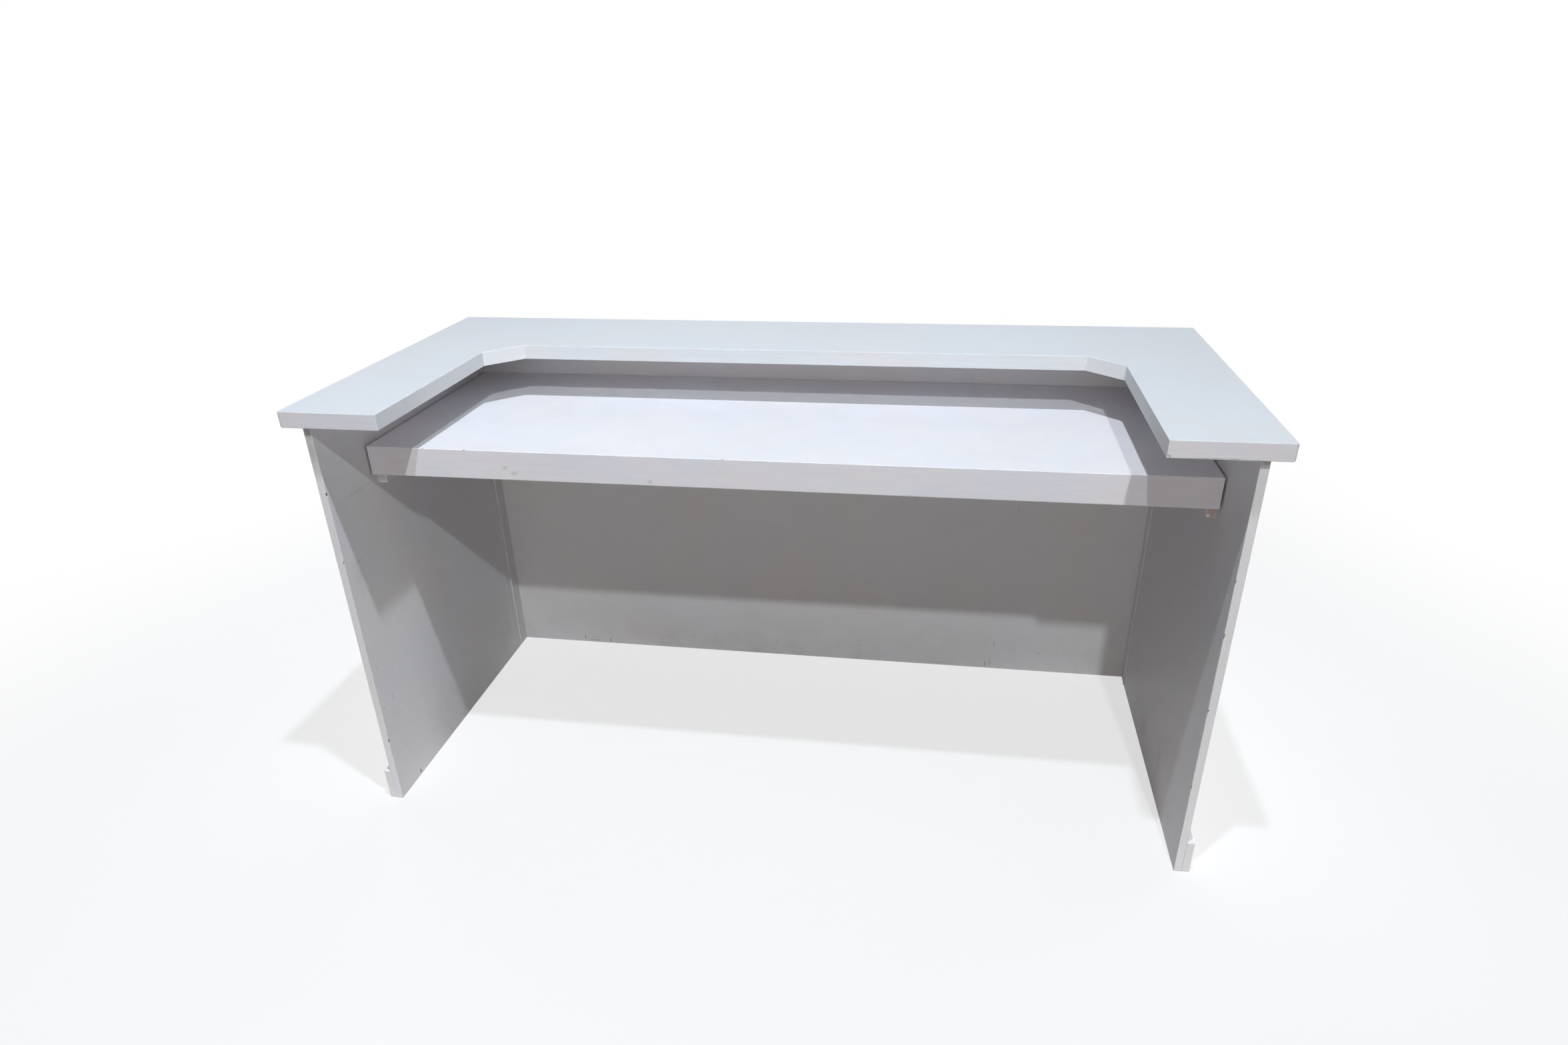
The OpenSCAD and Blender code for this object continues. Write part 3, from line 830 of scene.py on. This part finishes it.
class BAR_OT_carcass(bpy.types.Operator):
    """Model the front panel, the returns and the wings, with the recesses that the hinges are let into"""
    bl_idname = "bar.carcass"
    bl_label = "Carcass"

    def recessed(self, piece, leaf, side, towards):
        """Rout the recess of one hinge leaf; towards is the way from the leaf's edge to the pin."""
        low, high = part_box(leaf)
        inner = side * INNER_X
        x = sorted((inner - side * LEAF_MARGIN, inner + side * LEAF_INSET))
        y = sorted((PIN_Y, low.y - LEAF_MARGIN if towards > 0 else high.y + LEAF_MARGIN))
        router = block("router", Vector((x[0], y[0], low.z - LEAF_MARGIN)),
                       Vector((x[1], y[1], high.z + LEAF_MARGIN)))
        cut_away(piece, router, piece.data.materials[FACE])

    def execute(self, context):
        scene = context.scene
        width = scene.bar_arrises.board
        # The wings' edges take the lighter paint, as painted light
        colour, edge = scene.bar_paint.carcass, scene.bar_paint.ends

        node = "front_panel"
        piece, low, high = board_piece(node, paint_set(node, colour, 2, foot=DIRT[node]))
        eased(piece, width, arrises([(1, low.y)]))
        countersunk(piece, corner_screw_places(), TO_GUESTS, CORNER_SCREW)
        painted(node, piece, "carcass", rolled_across(1))

        for name, side in SIDES.items():
            node = "return_" + name
            piece, low, high = board_piece(node, paint_set(node, colour, 2, foot=DIRT["return"]))
            eased(piece, width, arrises([(1, high.y)]))
            self.recessed(piece, "hinge_leaf_fixed_" + name, side, -1)
            painted(node, piece, "carcass", rolled_across(0))

            node = "wing_" + name
            piece, low, high = board_piece(node, paint_set(node, colour, 2, edge, foot=DIRT["wing"]))
            eased(piece, width, arrises())
            chipped(piece, node)
            self.recessed(piece, "hinge_leaf_wing_" + name, side, 1)
            painted(node, piece, "carcass", rolled_across(0))
        return {"FINISHED"}


class BAR_OT_shelf(bpy.types.Operator):
    """Model the work shelf: its board, the rails round it and the ribs across it"""
    bl_idname = "bar.shelf"
    bl_label = "Work shelf"

    def near_lower(self, middle, direction):
        """The lower arris of the rail on the working side."""
        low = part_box("shelf_rail_front")[0]
        return (middle - low).yz.length < HAIR and abs(direction.x) > RUNNING

    def execute(self, context):
        widths = context.scene.bar_arrises
        colour, edge = context.scene.bar_paint.shelf, context.scene.bar_paint.edge
        node = "shelf_board"
        piece, low, high = board_piece(node, paint_set(node, colour, 0, edge))
        eased(piece, widths.board, arrises([(2, low.z)]))
        chipped(piece, node)
        painted(node, piece, "shelf", rolled_across(2))

        rails = [("shelf_rail_front", 0), ("shelf_rail_back", 0), ("shelf_rail_left", 1),
                 ("shelf_rail_right", 1), ("shelf_rib_left", 1), ("shelf_rib_centre", 1),
                 ("shelf_rib_right", 1)]
        for node, along in rails:
            piece, low, high = board_piece(node, paint_set(node, colour, along, edge))
            joints = [(2, high.z)]
            if along:
                joints += [(1, low.y), (1, high.y)]
            if node == "shelf_rail_front":
                eased(piece, widths.shelf, self.near_lower)
            eased(piece, widths.board, arrises(joints))
            painted(node, piece, "shelf", rolled_across(2))
        return {"FINISHED"}


class BAR_OT_cleats(bpy.types.Operator):
    """Model the cleats and the ledger that the work shelf rests on"""
    bl_idname = "bar.cleats"
    bl_label = "Cleats"

    def execute(self, context):
        scene = context.scene
        for node, out in CLEATS.items():
            along = 0 if node == "cleat_front" else 1
            piece, low, high = board_piece(node, paint_set(node, scene.bar_paint.carcass, along))
            back = (1, high.y) if along == 0 else (0, max(abs(low.x), abs(high.x)) * (-out.x))
            eased(piece, scene.bar_arrises.batten, arrises([back]))
            countersunk(piece, cleat_screw_places(node), out, WOOD_SCREW)
            painted(node, piece, "carcass", all_brushed)
        return {"FINISHED"}


class BAR_OT_skirting(bpy.types.Operator):
    """Model the skirting round the foot of the carcass"""
    bl_idname = "bar.skirting"
    bl_label = "Skirting"

    def execute(self, context):
        scene = context.scene
        # The skirting's lighter paint is painted light
        colour = scene.bar_paint.skirting
        for node in ("skirting_front", "skirting_return_left", "skirting_return_right",
                     "skirting_wing_left", "skirting_wing_right"):
            along = 0 if node == "skirting_front" else 1
            piece, low, high = board_piece(node, paint_set(node, colour, along, foot=DIRT["skirting"]))
            if node == "skirting_front":
                joints = [(1, low.y)]
            else:
                side = 1 if low.x > 0 else -1
                joints = [(0, side * PANEL_HIGH.x)]
            if "return" in node:
                joints.append((1, high.y))
            eased(piece, scene.bar_arrises.skirting, arrises(joints))
            painted(node, piece, "carcass", all_brushed)
        return {"FINISHED"}


class BAR_OT_hinges(bpy.types.Operator):
    """Paint over the continuous hinges and leave their pins bare"""
    bl_idname = "bar.hinges"
    bl_label = "Hinges"

    def execute(self, context):
        paint = context.scene.bar_paint
        leaf = painted_steel("hinge_paint", paint.carcass, paint.steel, paint.roughness - 0.06)
        pin = zinc_steel("pin_steel", paint.steel)
        for side in SIDES:
            for node, material in (("hinge_leaf_wing_" + side, leaf), ("hinge_leaf_fixed_" + side, leaf),
                                   ("hinge_pin_" + side, pin)):
                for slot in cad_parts[node].material_slots:
                    slot.material = material
        return {"FINISHED"}


# Screws: places of the heads, as the model of the part has them

def corner_screw_places():
    low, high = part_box("corner_screws")
    half = CORNER_SCREW["head"] / 2
    return [(side * (high.x - half), PANEL_HIGH.y, z) for side in SIDES.values()
            for z in row(SHORT_ROW, low.z, high.z, half)]


def cleat_screw_places(node):
    low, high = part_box(node)
    z = (low.z + high.z) / 2
    if node == "cleat_front":
        return [(x, low.y, z) for x in row(LONG_ROW, low.x, high.x)]
    face = high.x if high.x < 0 else low.x
    return [(face, y, z) for y in row(SHORT_ROW, low.y, high.y)]


def batten_screw_places(node):
    low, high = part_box(node)
    middle = (low + high) / 2
    if node == "top_batten_front":
        return [(x, middle.y, low.z) for x in row(LONG_ROW, low.x, high.x)]
    return [(middle.x, y, low.z) for y in row(SHORT_ROW, low.y, high.y)]


def hinge_screw_places(side):
    low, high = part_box("hinge_leaf_wing_right")
    x = side * (INNER_X - LEAF_PROUD)
    return [(x, PIN_Y + way * LEAF_SCREW, z) for way in (-1, 1) for z in row(LEAF_ROW, low.z, high.z)]


class BAR_OT_screws(bpy.types.Operator):
    """Model one screw of each size with its cross recess, and set copies of it in their places"""
    bl_idname = "bar.screws"
    bl_label = "Screws"

    def turned(self, screw):
        """One countersunk screw, its head's top at the origin and its tip towards -Z."""
        shank, head, length = screw["shank"], screw["head"], screw["length"]
        cone = (head - shank) / 2
        bpy.ops.object.select_all(action="DESELECT")
        bpy.ops.mesh.primitive_circle_add(vertices=SCREW_SIDES, radius=head / 2, fill_type="NGON")
        piece = added("screw")
        bpy.ops.object.mode_set(mode="EDIT")
        bpy.ops.mesh.select_all(action="SELECT")
        for drop, narrower in ((cone, shank / head), (length - cone - shank, 1.0), (shank, TIP)):
            bpy.ops.mesh.extrude_region_move(TRANSFORM_OT_translate={"value": (0, 0, -drop)})
            bpy.ops.transform.resize(value=(narrower, narrower, 1))
        bpy.ops.mesh.select_all(action="SELECT")
        bpy.ops.mesh.normals_make_consistent(inside=False)
        bpy.ops.object.mode_set(mode="OBJECT")
        long, wide, deep = RECESS[0] * head, RECESS[1] * head, RECESS[2] * cone
        for arm in (Vector((long, wide, deep)), Vector((wide, long, deep))):
            cut_away(piece, block("driver", -arm, arm))
        return piece

    def set_row(self, node, slot, body, screw, places, material):
        """Copies of the screw at every place, as one piece; a place comes with the way its head faces."""
        master = self.turned(screw)
        copies = []
        for place, axis in places:
            copy = master.copy()
            copy.data = master.data.copy()
            bpy.context.collection.objects.link(copy)
            copy.data.transform(axis.to_track_quat("Z", "Y").to_matrix().to_4x4())
            for vertex in copy.data.vertices:
                vertex.co += Vector(place)
            copies.append(copy)
        bpy.data.objects.remove(master)
        bpy.ops.object.select_all(action="DESELECT")
        for copy in copies:
            copy.select_set(True)
        bpy.context.view_layer.objects.active = copies[0]
        bpy.ops.object.join()
        piece = bpy.context.active_object
        piece.name = piece.data.name = node + "_driven"
        piece.data.materials.clear()
        piece.data.materials.append(material)
        bpy.ops.object.shade_smooth_by_angle(angle=SHARP)
        stands_for(piece, node, body)

    def execute(self, context):
        paint = context.scene.bar_paint
        over = painted_steel("screw_paint", paint.carcass, paint.steel, paint.roughness)
        zinc = zinc_steel("screw_zinc", paint.steel)
        cleats = [(place, out) for node, out in CLEATS.items() for place in cleat_screw_places(node)]
        battens = [(place, DOWN) for end in ("left", "right", "front")
                   for place in batten_screw_places("top_batten_" + end)]
        corners = [(place, TO_GUESTS) for place in corner_screw_places()]
        hinges = [(place, Vector((-side, 0, 0))) for side in SIDES.values()
                  for place in hinge_screw_places(side)]
        self.set_row("cleat_screws", "painted_steel", "carcass", WOOD_SCREW, cleats, over)
        self.set_row("corner_screws", "painted_steel", "carcass", CORNER_SCREW, corners, over)
        self.set_row("hinge_screws", "painted_steel", "carcass", HINGE_SCREW, hinges, over)
        self.set_row("batten_screws", "screw_steel", "counter", BATTEN_SCREW, battens, zinc)
        return {"FINISHED"}


class BAR_OT_studio(bpy.types.Operator):
    """Lay the white floor, hang the lamps and stand the camera"""
    bl_idname = "bar.studio"
    bl_label = "Studio"

    def camera_sees(self, tree):
        """1 for what the camera sees itself, in gloss or through glass, and 0 for other light."""
        path = make(tree, "ShaderNodeLightPath").outputs
        return calc(tree, "MAXIMUM", path["Is Camera Ray"], path["Is Glossy Ray"],
                    path["Is Transmission Ray"])

    def emptied(self, data):
        """The node tree of a material or a world, with nothing in it yet."""
        data.use_nodes = True
        data.node_tree.nodes.clear()
        return data.node_tree

    def floor(self, studio):
        """A disc that the camera sees as white with the bar's shadow on it. What it throws back has a tone of
        its own under the bar, beside it and far away."""
        bpy.ops.object.select_all(action="DESELECT")
        bpy.ops.mesh.primitive_circle_add(vertices=FLOOR_SIDES, radius=studio.floor_radius,
                                          fill_type="NGON")
        floor = added("floor")
        material = bpy.data.materials.new("floor_white")
        tree = self.emptied(material)
        place = make(tree, "ShaderNodeTexCoord").outputs["Object"]
        share = span(tree, length(tree, place), *WHITE_RIM, studio.floor_white, 1.0, smooth=True)
        shaded = make(tree, "ShaderNodeBsdfDiffuse", {"Color": WHITE}).outputs[0]
        glow = make(tree, "ShaderNodeEmission", {"Color": WHITE, "Strength": 1.0}).outputs[0]
        seen = make(tree, "ShaderNodeMixShader", {0: share, 1: shaded, 2: glow}).outputs[0]
        beside = length(tree, stretched(tree, place, (1 / BAR_HIGH.x, 1 / -BAR_LOW.y, 1.0)))
        thrown = blend(tree, span(tree, beside, *UNDER_RIM, 0.0, 1.0, smooth=True),
                       studio.floor_under[:], studio.floor[:])
        thrown = blend(tree, span(tree, beside, *FAR_RIM, 0.0, 1.0, smooth=True), thrown, studio.floor_far[:])
        bounce = make(tree, "ShaderNodeBsdfDiffuse", {"Color": thrown}).outputs[0]
        both = make(tree, "ShaderNodeMixShader", {0: self.camera_sees(tree), 1: bounce, 2: seen}).outputs[0]
        make(tree, "ShaderNodeOutputMaterial", {"Surface": both})
        floor.data.materials.append(material)

    def sky(self, studio):
        """A sky that the camera sees as white and that lights the bar evenly."""
        world = bpy.data.worlds.new("studio")
        bpy.context.scene.world = world
        tree = self.emptied(world)
        seen = make(tree, "ShaderNodeBackground", {"Color": WHITE, "Strength": 1.0}).outputs[0]
        light = make(tree, "ShaderNodeBackground", {"Color": WHITE, "Strength": studio.sky}).outputs[0]
        both = make(tree, "ShaderNodeMixShader", {0: self.camera_sees(tree), 1: light, 2: seen}).outputs[0]
        make(tree, "ShaderNodeOutputWorld", {"Surface": both})

    def aimed(self, name, data, place, aim, roll=0.0):
        """A lamp or camera at place that looks at aim."""
        way = Vector(aim) - Vector(place)
        turn = way.to_track_quat("-Z", "Y") @ Quaternion((0, 0, 1), roll)
        thing = bpy.data.objects.new(name, data)
        bpy.context.collection.objects.link(thing)
        thing.location = place
        thing.rotation_euler = turn.to_euler()
        return thing

    def lamp(self, name, place, aim, size, level, colour, in_sheen, beam=pi):
        """A soft lamp whose power gives that level on a white surface that faces it at aim. beam is the angle
        that a grid in front of it lets through, which makes the light straight ahead stronger."""
        data = bpy.data.lights.new(name, "AREA")
        data.shape = "RECTANGLE"
        data.size, data.size_y = size
        data.color = colour
        data.energy = level * (pi * (Vector(aim) - Vector(place)).length) ** 2
        if beam < pi:
            data.spread = beam
            data.energy *= (tan(beam / 2) - beam / 2) / tan(beam / 2)
        self.aimed(name, data, place, aim).visible_glossy = in_sheen

    def camera(self, settings):
        data = bpy.data.cameras.new("camera")
        data.sensor_width = SENSOR
        data.lens = settings.lens
        data.shift_y = settings.shift
        bpy.context.scene.camera = self.aimed("camera", data, settings.place, settings.aim, settings.roll)

    def execute(self, context):
        scene = context.scene
        self.floor(scene.bar_studio)
        self.sky(scene.bar_studio)
        for name, values in LAMPS.items():
            self.lamp(name, *values)
        self.camera(scene.bar_camera)
        scene.view_settings.view_transform = "Standard"
        return {"FINISHED"}


OPERATORS = [BAR_OT_counter, BAR_OT_battens, BAR_OT_carcass, BAR_OT_shelf, BAR_OT_cleats, BAR_OT_skirting,
             BAR_OT_hinges, BAR_OT_screws, BAR_OT_studio]
SETTINGS = {"bar_paint": BarPaint, "bar_arrises": BarArrises, "bar_studio": BarStudio,
            "bar_camera": BarCamera}


class BAR_PT_panel(bpy.types.Panel):
    """The bar's settings and the steps that make it"""
    bl_idname = "BAR_PT_panel"
    bl_label = "Portable bar"
    bl_space_type = "VIEW_3D"
    bl_region_type = "UI"
    bl_category = "Portable bar"

    def draw(self, context):
        for name, settings in SETTINGS.items():
            column = self.layout.column(align=True)
            for value in settings.__annotations__:
                column.prop(getattr(context.scene, name), value)
        for operator in OPERATORS:
            self.layout.operator(operator.bl_idname)


def register():
    for settings in SETTINGS.values():
        bpy.utils.register_class(settings)
    for name, settings in SETTINGS.items():
        setattr(bpy.types.Scene, name, bpy.props.PointerProperty(type=settings))
    for operator in OPERATORS:
        bpy.utils.register_class(operator)
    bpy.utils.register_class(BAR_PT_panel)


def unregister():
    bpy.utils.unregister_class(BAR_PT_panel)
    for operator in reversed(OPERATORS):
        bpy.utils.unregister_class(operator)
    for name in SETTINGS:
        delattr(bpy.types.Scene, name)
    for settings in SETTINGS.values():
        bpy.utils.unregister_class(settings)


def main():
    register()
    bare_board("bare_board", bpy.context.scene.bar_paint.core)
    bpy.ops.bar.counter()
    bpy.ops.bar.battens()
    bpy.ops.bar.carcass()
    bpy.ops.bar.shelf()
    bpy.ops.bar.cleats()
    bpy.ops.bar.skirting()
    bpy.ops.bar.hinges()
    bpy.ops.bar.screws()
    bpy.ops.bar.studio()


if __name__ == "__main__":
    main()
